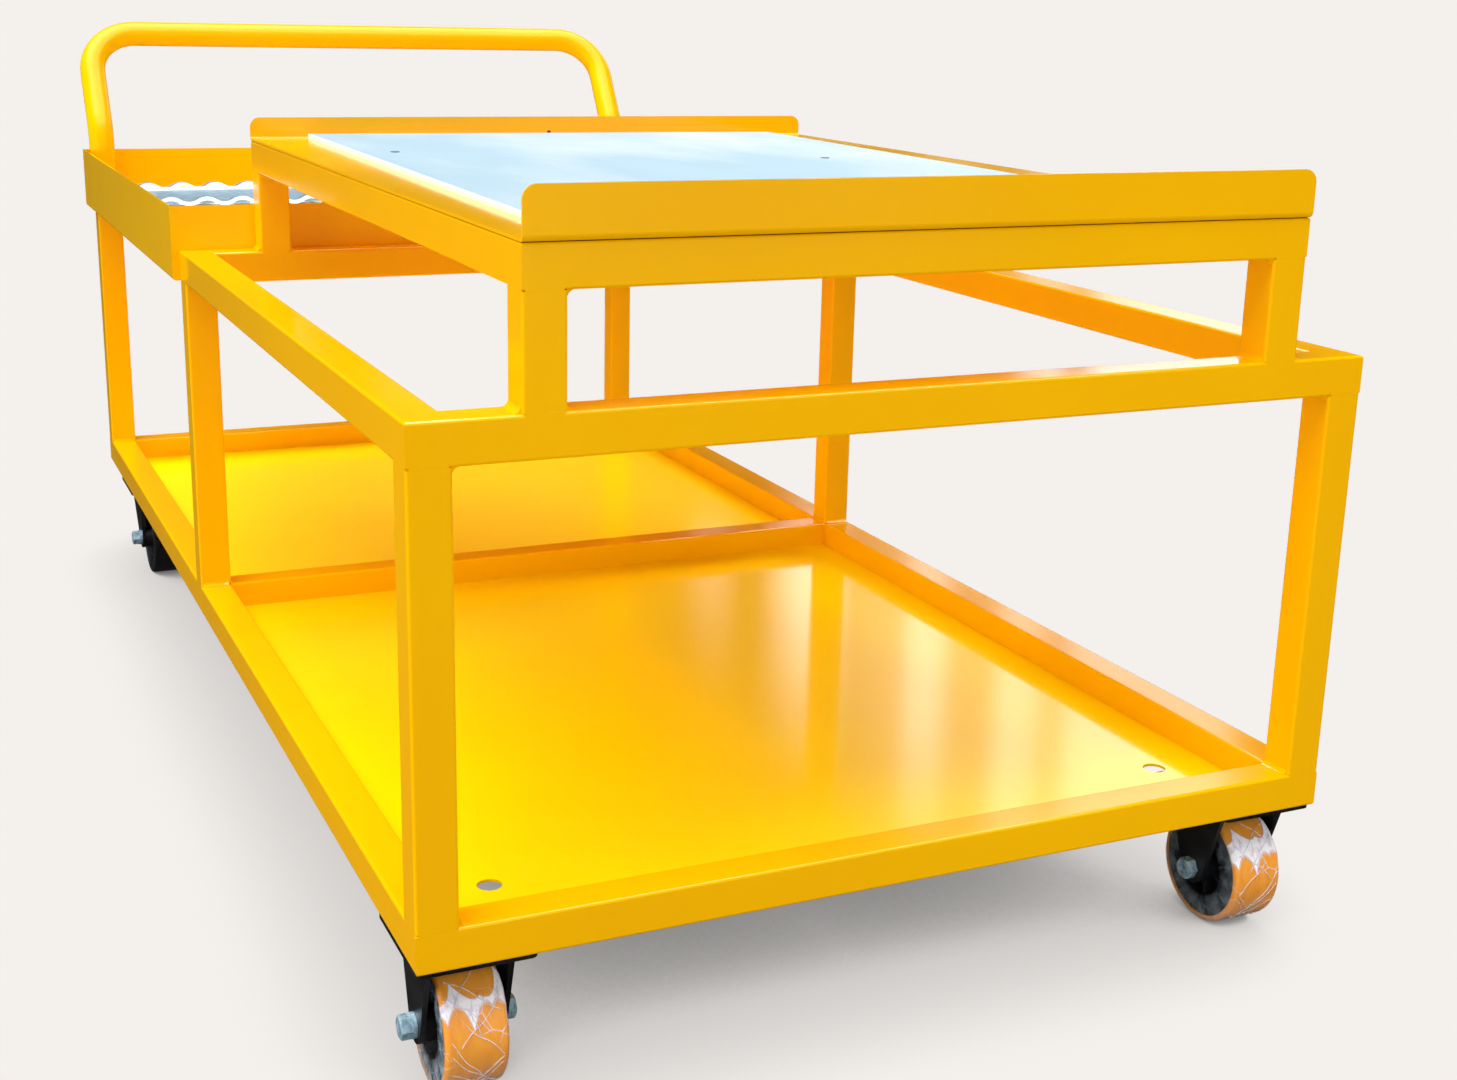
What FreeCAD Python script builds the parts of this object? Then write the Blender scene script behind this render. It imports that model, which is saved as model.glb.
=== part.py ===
import FreeCAD, Part
import math
import os

# Material trolley: a welded square-tube frame with two recessed decks, a raised work table over the
# front bay, a sheet tray and a bent push handle over the rear bay, two rigid and two swivel casters.
# Millimetres. +X is right seen from the table end, +Y points to the handle end, +Z is up from the floor.

V = FreeCAD.Vector
X_AXIS = V(1, 0, 0)
Y_AXIS = V(0, 1, 0)
Z_AXIS = V(0, 0, 1)

# Tube frame
WIDTH = 1000.0
LENGTH = 2050.0
TUBE = 40.0
TUBE_WALL = 2.5
TUBE_RADIUS = 3.0
CASTER_HEIGHT = 150.0
RING_TOP = CASTER_HEIGHT + 495.0
RING_LENGTH = 1120.0
TABLE_TOP = CASTER_HEIGHT + 637.0
TABLE_INSET_LEFT = 100.0
TABLE_INSET_RIGHT = 88.0

# Deck panels
DECK_SHEET = 3.0
DECK_HOLE_RADIUS = 12.5
DECK_HOLE_INSET_X = 110.0
DECK_HOLE_INSET_Y = 137.0

# Table pan and its plate
PAN_SHEET = 3.0
PAN_FRONT_LIP = 47.0
PAN_REAR_LIP = 30.0
PAN_LIP_RADIUS = 13.0
PAN_BEND = 3.0
PLATE_THICKNESS = 6.0
PLATE_INSET_LEFT = 75.0
PLATE_INSET_RIGHT = 64.0
PLATE_INSET_FRONT = 36.0
PLATE_INSET_REAR = 6.5
PLATE_EDGE = 0.8
PLATE_SKEW = 1.6

# Tool tray and its wave rack
TRAY_SHEET = 2.5
TRAY_OVERHANG = 10.0
TRAY_REAR_OVERHANG = 40.0
TRAY_HEIGHT = 98.0
TRAY_BEND = 2.0
RACK_SETBACK = 98.0
RACK_BAR_DEPTH = 34.0
RACK_BAR_THICKNESS = 5.0
RACK_PITCH = 190.0
RACK_SHEET = 1.5
RACK_LIP = 6.0
WAVE_DEPTH = 16.0
WAVE_SHEET = 5.0
WAVE_PERIOD = 48.0
WAVE_RISE = 7.0
WAVE_COUNT = 21
WAVE_ABOVE_RIM = 1.5

# Push handle
HANDLE_RADIUS = 21.0
HANDLE_WALL = 2.5
HANDLE_SPACING = 960.0
HANDLE_KNEE_HEIGHT = 30.0
HANDLE_BAR_HEIGHT = CASTER_HEIGHT + 750.0
HANDLE_LEAN = math.radians(33.0)
HANDLE_KNEE_RADIUS = 90.0
HANDLE_BEND_RADIUS = 80.0
HANDLE_WALL_GAP = 0.5

# Casters
WHEEL_RADIUS = 62.5
WHEEL_WIDTH = 60.0
TREAD_THICKNESS = 6.0
TREAD_EDGE = 4.5
RIM_WIDTH = 57.0
RIM_THICKNESS = 12.0
WEB_WIDTH = 10.0
HUB_RADIUS = 17.0
RIB_COUNT = 6
RIB_THICKNESS = 5.0
RIB_WIDTH = 40.0
AXLE_RADIUS = 6.0
RUNNING_GAP = 0.05
SIDE_GAP = 0.5
FORK_GAP = 74.0
FORK_SHEET = 5.0
FORK_BEND = 5.0
FORK_TOP_DEPTH = 84.0
BOSS_RADIUS = 18.0
BOLT_FLATS = 21.0
BOLT_HEAD = 11.0
BOLT_WASHER_RADIUS = 12.5
BOLT_WASHER = 4.0
BOLT_SUNK = 1.5
NUT_HEIGHT = 12.0
HEX_FACE = 0.9
HEX_CHAMFER = math.radians(30.0)
TOP_PLATE_WIDTH = 114.0
TOP_PLATE_DEPTH = 134.0
TOP_PLATE_SHEET = 5.0
TOP_PLATE_CORNER = 8.0
CASTER_INSET_SIDE = 58.0
CASTER_INSET_FRONT = 71.0
CASTER_INSET_REAR = 200.0
SWIVEL_TRAIL = 34.0
RACE_RADIUS = 36.0
RACE_HEIGHT = 4.0
CUP_HEIGHT = 6.0
CUP_TAPER = 5.0
KINGPIN_RADIUS = 8.0
RIVET_RADIUS = 13.0
RIVET_HEIGHT = 3.5

# Places worked out from the sizes above
HALF = WIDTH / 2
BASE_BOTTOM = CASTER_HEIGHT
BASE_TOP = BASE_BOTTOM + TUBE
RING_BOTTOM = RING_TOP - TUBE
TRAY_TOP = RING_BOTTOM + TRAY_HEIGHT
HANDLE_LEG = LENGTH + TRAY_REAR_OVERHANG - TRAY_SHEET - HANDLE_WALL_GAP - HANDLE_RADIUS
HANDLE_KNEE = TRAY_TOP + HANDLE_KNEE_HEIGHT
HANDLE_BAR = HANDLE_LEG + (HANDLE_BAR_HEIGHT - HANDLE_KNEE) * math.tan(HANDLE_LEAN)
FRONT = (PAN_SHEET - HANDLE_BAR - HANDLE_RADIUS) / 2
REAR = FRONT + LENGTH
RING_REAR = FRONT + RING_LENGTH
TABLE_LEFT = TABLE_INSET_LEFT - HALF
TABLE_RIGHT = HALF - TABLE_INSET_RIGHT


def block(low, high):
    """A box between two opposite corners."""
    size = high - low
    return Part.makeBox(size.x, size.y, size.z, low)


def rounded_square(size, radius):
    """A square wire about the origin in the XY plane, with round corners."""
    half = size / 2
    flat = half - radius
    edges = []
    for quarter in range(4):
        turn = FreeCAD.Rotation(Z_AXIS, 90 * quarter)
        run = [V(half, -flat, 0), V(half, flat, 0)]
        bow = flat + radius * math.sqrt(0.5)
        arc = [V(half, flat, 0), V(bow, bow, 0), V(flat, half, 0)]
        edges.append(Part.makeLine(*[turn.multVec(point) for point in run]))
        edges.append(Part.Arc(*[turn.multVec(point) for point in arc]).toShape())
    return Part.Wire(edges)


def square_tube(start, end):
    """Hollow square tube whose centre line runs from start to end along one axis."""
    run = end - start
    outer = Part.Face(rounded_square(TUBE, TUBE_RADIUS))
    bore = TUBE - 2 * TUBE_WALL
    section = outer.cut(Part.makePlane(bore, bore, V(-bore / 2, -bore / 2, 0)))
    section.Placement = FreeCAD.Placement(start, FreeCAD.Rotation(Z_AXIS, run))
    return section.extrude(run)


def mitred_frame(left, right, front, rear, top):
    """Four tubes round a rectangle with 45 degree corners, keyed by side."""
    half = TUBE / 2
    level = top - half
    corners = [V(left, front, 0), V(right, front, 0), V(right, rear, 0), V(left, rear, 0)]
    rails = {}
    for side, here, there in zip(["front", "right", "rear", "left"], corners, corners[1:] + corners[:1]):
        along = (there - here).normalize()
        inward = Z_AXIS.cross(along)
        start = here + inward * half
        end = there + inward * half
        tube = square_tube(start + Z_AXIS * level, end + Z_AXIS * level)
        inside_end = there + (inward - along) * TUBE
        inside_start = here + (inward + along) * TUBE
        outline = Part.makePolygon([here, there, inside_end, inside_start, here])
        trim = Part.Face(outline).extrude(Z_AXIS * (top + half))
        rails[side] = tube.common(trim)
    return rails


def post(left, front, bottom, top):
    """Upright tube with its left and front faces at the given places."""
    half = TUBE / 2
    return square_tube(V(left + half, front + half, bottom), V(left + half, front + half, top))


def deck(front, rear, holes):
    """Recessed floor sheet between the base rails, with round holes."""
    low = V(TUBE - HALF, front, BASE_BOTTOM + TUBE_RADIUS)
    high = V(HALF - TUBE, rear, low.z + DECK_SHEET)
    sheet = block(low, high)
    for place in holes:
        foot = V(place.x, place.y, low.z)
        sheet = sheet.cut(Part.makeCylinder(DECK_HOLE_RADIUS, DECK_SHEET, foot))
    return sheet


def frame_nodes():
    """Base, posts, ring and table frame."""
    nodes = {}
    for side, rail in mitred_frame(-HALF, HALF, FRONT, REAR, BASE_TOP).items():
        nodes["base_%s_rail" % side] = rail
    cross_level = BASE_TOP - TUBE / 2
    cross_y = RING_REAR - TUBE / 2
    nodes["base_cross_member"] = square_tube(V(TUBE - HALF, cross_y, cross_level),
                                             V(HALF - TUBE, cross_y, cross_level))
    for side, rail in mitred_frame(-HALF, HALF, FRONT, RING_REAR, RING_TOP).items():
        nodes["ring_%s_rail" % side] = rail
    for side, rail in mitred_frame(TABLE_LEFT, TABLE_RIGHT, FRONT, RING_REAR, TABLE_TOP).items():
        nodes["table_%s_rail" % side] = rail
    rows = {"front": FRONT, "middle": RING_REAR - TUBE, "rear": REAR - TUBE}
    for row, front in rows.items():
        nodes["%s_left_post" % row] = post(-HALF, front, BASE_TOP, RING_BOTTOM)
        nodes["%s_right_post" % row] = post(HALF - TUBE, front, BASE_TOP, RING_BOTTOM)
    for row, front in [("front", FRONT), ("rear", RING_REAR - TUBE)]:
        nodes["table_%s_left_leg" % row] = post(TABLE_LEFT, front, RING_TOP, TABLE_TOP - TUBE)
        nodes["table_%s_right_leg" % row] = post(TABLE_RIGHT - TUBE, front, RING_TOP, TABLE_TOP - TUBE)
    return nodes


def deck_nodes():
    """The two recessed decks, the front one with a hole near each front corner."""
    hole_y = FRONT + DECK_HOLE_INSET_Y
    hole_x = HALF - DECK_HOLE_INSET_X
    holes = [V(-hole_x, hole_y, 0), V(hole_x, hole_y, 0)]
    return {
        "front_deck": deck(FRONT + TUBE, RING_REAR - TUBE, holes),
        "rear_deck": deck(RING_REAR, REAR - TUBE, []),
    }


def table_pan():
    """Folded sheet with an upturned lip at the front and a lower one at the rear, corners round."""
    low = V(TABLE_LEFT, FRONT - PAN_SHEET, TABLE_TOP)
    high = V(TABLE_RIGHT, RING_REAR + PAN_SHEET, TABLE_TOP + PAN_FRONT_LIP)
    outside = block(low, high)
    outer_bends = [e for e in outside.Edges if along_x_at(e, low.z)]
    outside = outside.makeFillet(PAN_BEND + PAN_SHEET, outer_bends)
    inner_low = low + V(0, PAN_SHEET, PAN_SHEET)
    inner_high = high + V(0, -PAN_SHEET, PAN_SHEET)
    inside = block(inner_low, inner_high)
    inside = inside.makeFillet(PAN_BEND, [e for e in inside.Edges if along_x_at(e, inner_low.z)])
    rear_top = TABLE_TOP + PAN_REAR_LIP
    over_rear_lip = block(V(TABLE_LEFT, RING_REAR - TUBE, rear_top), high)
    pan = outside.cut([inside, over_rear_lip])
    corners = [e for e in pan.Edges if along_y_at(e, high.z) or along_y_at(e, rear_top)]
    return pan.makeFillet(PAN_LIP_RADIUS, corners)


def along_x_at(edge, level):
    """True for an edge that runs along X at the given height."""
    box = edge.BoundBox
    return box.XLength > 1 and box.YLength < 1e-6 and abs(box.ZMin - level) < 1e-6 and box.ZLength < 1e-6


def along_y_at(edge, level):
    """True for an edge that runs along Y at the given height."""
    box = edge.BoundBox
    return box.YLength > 1 and box.XLength < 1e-6 and abs(box.ZMin - level) < 1e-6 and box.ZLength < 1e-6


def table_plate():
    """Thick loose plate lying a little askew on the pan, with eased edges."""
    low = V(TABLE_LEFT + PLATE_INSET_LEFT, FRONT + PLATE_INSET_FRONT, TABLE_TOP + PAN_SHEET)
    high = V(TABLE_RIGHT - PLATE_INSET_RIGHT, RING_REAR - PLATE_INSET_REAR, low.z + PLATE_THICKNESS)
    plate = block(low, high)
    top_edges = [e for e in plate.Edges if e.BoundBox.ZMin > high.z - 1e-6]
    plate = plate.makeChamfer(PLATE_EDGE, top_edges)
    plate.rotate(V(low.x, high.y, low.z), Z_AXIS, -PLATE_SKEW)
    return plate


def tool_tray():
    """Open sheet tray on the rear posts, wider than the frame and longer than the base."""
    low = V(-HALF - TRAY_OVERHANG, RING_REAR, RING_BOTTOM)
    high = V(HALF + TRAY_OVERHANG, REAR + TRAY_REAR_OVERHANG, TRAY_TOP)
    outside = block(low, high)
    side_folds = [e for e in outside.Edges if along_y_at(e, low.z)]
    outside = outside.makeFillet(TRAY_BEND + TRAY_SHEET, side_folds)
    wall = V(TRAY_SHEET, TRAY_SHEET, TRAY_SHEET)
    inner_high = high + V(-TRAY_SHEET, -TRAY_SHEET, TRAY_SHEET)
    inside = block(low + wall, inner_high)
    inside = inside.makeFillet(TRAY_BEND, [e for e in inside.Edges if along_y_at(e, low.z + TRAY_SHEET)])
    return outside.cut(inside)


def wave_ribbon(front, bottom):
    """Corrugated ribbon across the tray: equal arcs up and down, offset by the sheet thickness."""
    chord = WAVE_PERIOD / 2
    sag = WAVE_RISE / 2
    bend = (chord * chord / 4 + sag * sag) / (2 * sag)
    half_angle = math.asin(chord / 2 / bend)
    middle = bottom + (WAVE_RISE + WAVE_SHEET) / 2
    start = -WAVE_COUNT * WAVE_PERIOD / 2
    lines = []
    for offset in (WAVE_SHEET / 2, -WAVE_SHEET / 2):
        edges = []
        for step in range(2 * WAVE_COUNT):
            up = 1 if step % 2 == 0 else -1
            radius = bend + up * offset
            centre = V(start + (step + 0.5) * chord, front, middle - up * (bend - sag))
            reach = V(radius * math.sin(half_angle), 0, 0)
            rise = V(0, 0, up * radius * math.cos(half_angle))
            crest = centre + V(0, 0, up * radius)
            edges.append(Part.Arc(centre - reach + rise, crest, centre + reach + rise).toShape())
        lines.append(edges)
    upper, lower = lines
    ends = []
    for vertex in (0, -1):
        ends.append(Part.makeLine(upper[vertex].Vertexes[vertex].Point, lower[vertex].Vertexes[vertex].Point))
    outline = Part.Wire(Part.__sortEdges__(upper + lower + ends))
    return Part.Face(outline).extrude(Y_AXIS * WAVE_DEPTH)


def rack_nodes():
    """Two bars across the tray, a lipped grey sheet between them and a wave ribbon on each bar."""
    reach = HALF + TRAY_OVERHANG - TRAY_SHEET
    seat = TRAY_TOP + WAVE_ABOVE_RIM - WAVE_RISE - WAVE_SHEET
    first = RING_REAR + RACK_SETBACK
    fronts = {"front": first, "rear": first + RACK_PITCH}
    nodes = {}
    for name, front in fronts.items():
        low = V(-reach, front, seat - RACK_BAR_THICKNESS)
        nodes["rack_%s_bar" % name] = block(low, V(reach, front + RACK_BAR_DEPTH, seat))
    nodes["rack_front_wave"] = wave_ribbon(fronts["front"] + RACK_SHEET, seat)
    rear_wave = fronts["rear"] + RACK_BAR_DEPTH - WAVE_DEPTH
    nodes["rack_rear_wave"] = wave_ribbon(rear_wave, seat)
    sheet_front = fronts["front"] + WAVE_DEPTH + 2 * RACK_SHEET
    sheet_rear = rear_wave - RACK_SHEET
    sheet = block(V(-reach, sheet_front, seat), V(reach, sheet_rear, seat + RACK_SHEET))
    lip = block(V(-reach, sheet_rear - RACK_SHEET, seat), V(reach, sheet_rear, seat + RACK_LIP))
    nodes["rack_sheet"] = sheet.fuse(lip).removeSplitter()
    return nodes


def rounded_path(points, radii):
    """One wire of straight runs, with a tangent arc of the given radius at each inner point."""
    edges = []
    start = points[0]
    for before, corner, after, radius in zip(points, points[1:], points[2:], radii):
        back = (before - corner).normalize()
        ahead = (after - corner).normalize()
        half = back.getAngle(ahead) / 2
        reach = radius / math.tan(half)
        centre = corner + (back + ahead).normalize() * (radius / math.sin(half))
        arc_start = corner + back * reach
        arc_end = corner + ahead * reach
        middle = centre + (corner - centre).normalize() * radius
        edges.append(Part.makeLine(start, arc_start))
        edges.append(Part.Arc(arc_start, middle, arc_end).toShape())
        start = arc_end
    edges.append(Part.makeLine(start, points[-1]))
    return Part.Wire(edges)


def push_handle():
    """Bent round tube: upright legs in the tray's rear corners, leaning back to a cross bar."""
    foot = V(-HANDLE_SPACING / 2, FRONT + HANDLE_LEG, RING_BOTTOM + TRAY_SHEET)
    knee = V(foot.x, foot.y, HANDLE_KNEE)
    top = V(foot.x, FRONT + HANDLE_BAR, HANDLE_BAR_HEIGHT)
    left = [foot, knee, top]
    right = [V(-point.x, point.y, point.z) for point in reversed(left)]
    radii = [HANDLE_KNEE_RADIUS, HANDLE_BEND_RADIUS, HANDLE_BEND_RADIUS, HANDLE_KNEE_RADIUS]
    path = rounded_path(left + right, radii)
    skins = []
    for radius in (HANDLE_RADIUS, HANDLE_RADIUS - HANDLE_WALL):
        ring = Part.Wire([Part.makeCircle(radius, foot, Z_AXIS)])
        skins.append(path.makePipeShell([ring], True, False))
    return skins[0].cut(skins[1])


def turned(profile):
    """Solid of revolution about X from points given as (along X, radius)."""
    outline = Part.makePolygon([V(x, r, 0) for x, r in profile + profile[:1]])
    return Part.Face(outline).revolve(V(0, 0, 0), X_AXIS, 360)


def wheel_tread():
    """Poured tread with round shoulders, about X at the origin."""
    half = WHEEL_WIDTH / 2
    inner = WHEEL_RADIUS - TREAD_THICKNESS
    tread = turned([(-half, inner), (half, inner), (half, WHEEL_RADIUS), (-half, WHEEL_RADIUS)])
    shoulders = [e for e in tread.Edges if e.BoundBox.XLength < 1e-6 and e.BoundBox.YMax > inner + 1]
    return tread.makeFillet(TREAD_EDGE, shoulders)


def wheel_core():
    """Cast core: rim, web, ribs and a hub as long as the fork allows, bored for the axle."""
    rim_out = WHEEL_RADIUS - TREAD_THICKNESS
    rim_in = rim_out - RIM_THICKNESS
    hub = FORK_GAP / 2 - SIDE_GAP
    rim = RIM_WIDTH / 2
    web = WEB_WIDTH / 2
    bore = AXLE_RADIUS + RUNNING_GAP
    core = turned([(-hub, bore), (hub, bore), (hub, HUB_RADIUS), (web, HUB_RADIUS), (web, rim_in),
                   (rim, rim_in), (rim, rim_out), (-rim, rim_out), (-rim, rim_in), (-web, rim_in),
                   (-web, HUB_RADIUS), (-hub, HUB_RADIUS)])
    overlap = RIM_THICKNESS / 2
    low = V(-RIB_WIDTH / 2, -RIB_THICKNESS / 2, HUB_RADIUS - overlap)
    high = V(RIB_WIDTH / 2, RIB_THICKNESS / 2, rim_in + overlap)
    ribs = []
    for number in range(RIB_COUNT):
        rib = block(low, high)
        rib.rotate(V(0, 0, 0), X_AXIS, 360.0 / RIB_COUNT * number)
        ribs.append(rib)
    return core.fuse(ribs).removeSplitter()


def hexagon(flats, start, height):
    """Hexagonal prism along X from the given place on the axle line, its far end chamfered round."""
    across = flats / math.sqrt(3)
    points = [V(start, across * math.cos(a), across * math.sin(a))
              for a in [math.radians(60 * corner) for corner in range(6)]]
    prism = Part.Face(Part.makePolygon(points + points[:1])).extrude(X_AXIS * height)
    end = start + height
    face = flats / 2 * HEX_FACE
    slope = math.copysign((across - face) * math.tan(HEX_CHAMFER), height)
    return prism.common(turned([(start, 0), (end, 0), (end, face), (end - slope, across), (start, across)]))


def axle_bolt(outward):
    """Hexagon bolt along X with a thick washer face, its head on the outward side, at the origin."""
    seat = FORK_GAP / 2 + FORK_SHEET
    head_start = seat + BOLT_WASHER
    shank_end = BOLT_SUNK - seat - NUT_HEIGHT
    shank = Part.makeCylinder(AXLE_RADIUS, seat - shank_end, V(shank_end, 0, 0), X_AXIS)
    washer = Part.makeCylinder(BOLT_WASHER_RADIUS, BOLT_WASHER, V(seat, 0, 0), X_AXIS)
    bolt = shank.fuse([washer, hexagon(BOLT_FLATS, head_start, BOLT_HEAD)]).removeSplitter()
    return face_outward(bolt, outward)


def axle_nut(outward):
    """Hexagon nut on the inward end of the axle bolt."""
    seat = -FORK_GAP / 2 - FORK_SHEET
    hole = Part.makeCylinder(AXLE_RADIUS + RUNNING_GAP, NUT_HEIGHT, V(seat, 0, 0), -X_AXIS)
    return face_outward(hexagon(BOLT_FLATS, seat, -NUT_HEIGHT).cut(hole), outward)


def face_outward(shape, outward):
    """Turns a piece made for the right side half round when it is for the left side."""
    if outward < 0:
        shape.rotate(V(0, 0, 0), Z_AXIS, 180)
    return shape


def tangent_point(corner, centre, radius, side):
    """Where a line from the corner touches the circle, in the YZ plane."""
    gap = corner - centre
    turn = FreeCAD.Rotation(X_AXIS, side * math.degrees(math.acos(radius / gap.Length)))
    return centre + turn.multVec(gap) * (radius / gap.Length)


def fork(crown_top, axle, bored_crown):
    """U-bent fork: the bent section cut to the leg's tapering outline, with the axle hole."""
    outer = FORK_GAP / 2 + FORK_SHEET
    half_depth = FORK_TOP_DEPTH / 2
    foot = axle.z - BOSS_RADIUS
    bent = block(V(-outer, axle.y - FORK_TOP_DEPTH, foot), V(outer, axle.y + FORK_TOP_DEPTH, crown_top))
    bent = bent.makeFillet(FORK_BEND + FORK_SHEET, [e for e in bent.Edges if along_y_at(e, crown_top)])
    gap_top = crown_top - FORK_SHEET
    gap = block(V(-FORK_GAP / 2, axle.y - FORK_TOP_DEPTH, foot), V(FORK_GAP / 2, axle.y + FORK_TOP_DEPTH, gap_top))
    gap = gap.makeFillet(FORK_BEND, [e for e in gap.Edges if along_y_at(e, gap_top)])
    front_top = V(-outer, -half_depth, crown_top)
    rear_top = V(-outer, half_depth, crown_top)
    front_side = V(-outer, -half_depth, gap_top - FORK_BEND)
    rear_side = V(-outer, half_depth, gap_top - FORK_BEND)
    boss = V(-outer, axle.y, axle.z)
    front_touch = tangent_point(front_side, boss, BOSS_RADIUS, 1)
    rear_touch = tangent_point(rear_side, boss, BOSS_RADIUS, -1)
    edges = Part.makePolygon([front_touch, front_side, front_top, rear_top, rear_side, rear_touch]).Edges
    edges.append(Part.Arc(rear_touch, boss - Z_AXIS * BOSS_RADIUS, front_touch).toShape())
    outline = Part.Face(Part.Wire(edges)).extrude(X_AXIS * (2 * outer))
    shape = bent.cut(gap).common(outline)
    axle_hole = Part.makeCylinder(AXLE_RADIUS + RUNNING_GAP, 2 * outer, boss, X_AXIS)
    shape = shape.cut(axle_hole)
    if bored_crown:
        pin_hole = Part.makeCylinder(KINGPIN_RADIUS + RUNNING_GAP, crown_top, V(0, 0, 0), Z_AXIS)
        shape = shape.cut(pin_hole)
    return shape


def mounting_plate():
    """Flat caster plate with round corners under the base rails, about the Z axis."""
    high = V(TOP_PLATE_WIDTH / 2, TOP_PLATE_DEPTH / 2, CASTER_HEIGHT)
    plate = block(V(-high.x, -high.y, CASTER_HEIGHT - TOP_PLATE_SHEET), high)
    corners = [e for e in plate.Edges if e.BoundBox.ZLength > TOP_PLATE_SHEET - 1e-6]
    return plate.makeFillet(TOP_PLATE_CORNER, corners)


def rigid_bracket():
    """Plate and fork in one welded piece, axle straight below the plate's middle."""
    legs = fork(CASTER_HEIGHT - TOP_PLATE_SHEET, V(0, 0, WHEEL_RADIUS), False)
    return mounting_plate().fuse(legs).removeSplitter()


def swivel_plate():
    """Plate with the upper race and the riveted kingpin."""
    bottom = CASTER_HEIGHT - TOP_PLATE_SHEET
    race_bottom = bottom - RACE_HEIGHT
    race = Part.makeCylinder(RACE_RADIUS - CUP_TAPER, RACE_HEIGHT, V(0, 0, race_bottom))
    crown_bottom = race_bottom - SIDE_GAP - CUP_HEIGHT - FORK_SHEET
    rivet_top = crown_bottom - SIDE_GAP
    pin = Part.makeCylinder(KINGPIN_RADIUS, bottom - rivet_top, V(0, 0, rivet_top))
    rivet = Part.makeCylinder(RIVET_RADIUS, RIVET_HEIGHT, V(0, 0, rivet_top - RIVET_HEIGHT))
    return mounting_plate().fuse([race, pin, rivet]).removeSplitter()


def swivel_fork():
    """Fork that trails the kingpin towards the table end, with the lower race cup on its crown."""
    cup_top = CASTER_HEIGHT - TOP_PLATE_SHEET - RACE_HEIGHT - SIDE_GAP
    crown_top = cup_top - CUP_HEIGHT
    legs = fork(crown_top, V(0, -SWIVEL_TRAIL, WHEEL_RADIUS), True)
    cup = Part.makeCone(RACE_RADIUS, RACE_RADIUS - CUP_TAPER, CUP_HEIGHT, V(0, 0, crown_top))
    hole = Part.makeCylinder(KINGPIN_RADIUS + RUNNING_GAP, CUP_HEIGHT, V(0, 0, crown_top))
    return legs.fuse(cup.cut(hole)).removeSplitter()


def caster_nodes():
    """Rigid casters under the front corners and swivel casters under the rear corners."""
    nodes = {}
    for side, outward in [("left", -1), ("right", 1)]:
        across = outward * (HALF - CASTER_INSET_SIDE)
        front = V(across, FRONT + CASTER_INSET_FRONT, 0)
        rear = V(across, REAR - CASTER_INSET_REAR, 0)
        nodes["front_%s_bracket" % side] = rigid_bracket().translated(front)
        nodes["rear_%s_swivel_plate" % side] = swivel_plate().translated(rear)
        nodes["rear_%s_fork" % side] = swivel_fork().translated(rear)
        trail = V(0, -SWIVEL_TRAIL, 0)
        for end, place in [("front", front), ("rear", rear + trail)]:
            axle = place + Z_AXIS * WHEEL_RADIUS
            name = "%s_%s" % (end, side)
            nodes[name + "_tread"] = wheel_tread().translated(axle)
            nodes[name + "_core"] = wheel_core().translated(axle)
            nodes[name + "_bolt"] = axle_bolt(outward).translated(axle)
            nodes[name + "_nut"] = axle_nut(outward).translated(axle)
    return nodes


def all_nodes():
    """Every piece of the trolley by name."""
    nodes = frame_nodes()
    nodes.update(deck_nodes())
    nodes["table_pan"] = table_pan()
    nodes["table_plate"] = table_plate()
    nodes["tool_tray"] = tool_tray()
    nodes.update(rack_nodes())
    nodes["push_handle"] = push_handle()
    nodes.update(caster_nodes())
    return nodes


os.makedirs("parts", exist_ok=True)
for node_name, solid in all_nodes().items():
    solid.exportStep("parts/%s.step" % node_name)
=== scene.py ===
import math
import bpy
from mathutils import Matrix, Vector, noise as vertex_noise


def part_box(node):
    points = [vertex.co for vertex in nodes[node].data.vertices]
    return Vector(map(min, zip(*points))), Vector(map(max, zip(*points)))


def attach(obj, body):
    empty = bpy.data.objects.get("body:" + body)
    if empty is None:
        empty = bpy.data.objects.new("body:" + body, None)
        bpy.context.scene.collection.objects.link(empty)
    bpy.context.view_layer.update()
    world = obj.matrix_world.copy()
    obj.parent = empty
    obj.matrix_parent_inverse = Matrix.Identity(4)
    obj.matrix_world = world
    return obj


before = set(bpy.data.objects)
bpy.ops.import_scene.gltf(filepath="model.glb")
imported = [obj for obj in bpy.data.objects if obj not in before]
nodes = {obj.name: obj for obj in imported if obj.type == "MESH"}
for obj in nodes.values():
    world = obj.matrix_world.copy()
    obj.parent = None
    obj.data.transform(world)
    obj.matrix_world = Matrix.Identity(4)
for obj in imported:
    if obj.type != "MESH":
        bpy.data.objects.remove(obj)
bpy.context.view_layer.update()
bpy.ops.object.select_all(action="DESELECT")

# Welded frame: 40 mm square steel tube with rounded corners, mitred at the corners of the base,
# of the ring and of the table frame, then powder coated a warm gloss yellow after welding.
# The coat is even and new, with a fine orange peel and a slight drift of tone from spraying.
COAT_DEEP = (0.97, 0.475, 0.0, 1.0)
COAT_BRIGHT = (1.0, 0.515, 0.0, 1.0)
COAT_ROUGHNESS = 0.12
COAT_SHEEN = 0.3
DRIFT_SCALE = 2.6
GLOSS_SCALE = 9.0
GLOSS_DRIFT = 0.05
PEEL_SCALE = 16.0
PEEL_STRENGTH = 0.012
PEEL_DEPTH = 0.001


def new_material(name):
    """A new material, its tree, its shader and its Object coordinates."""
    material = bpy.data.materials.new(name)
    material.use_nodes = True
    tree = material.node_tree
    shader = tree.nodes["Principled BSDF"]
    coords = tree.nodes.new("ShaderNodeTexCoord")
    return material, tree, shader, coords.outputs["Object"]


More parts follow.
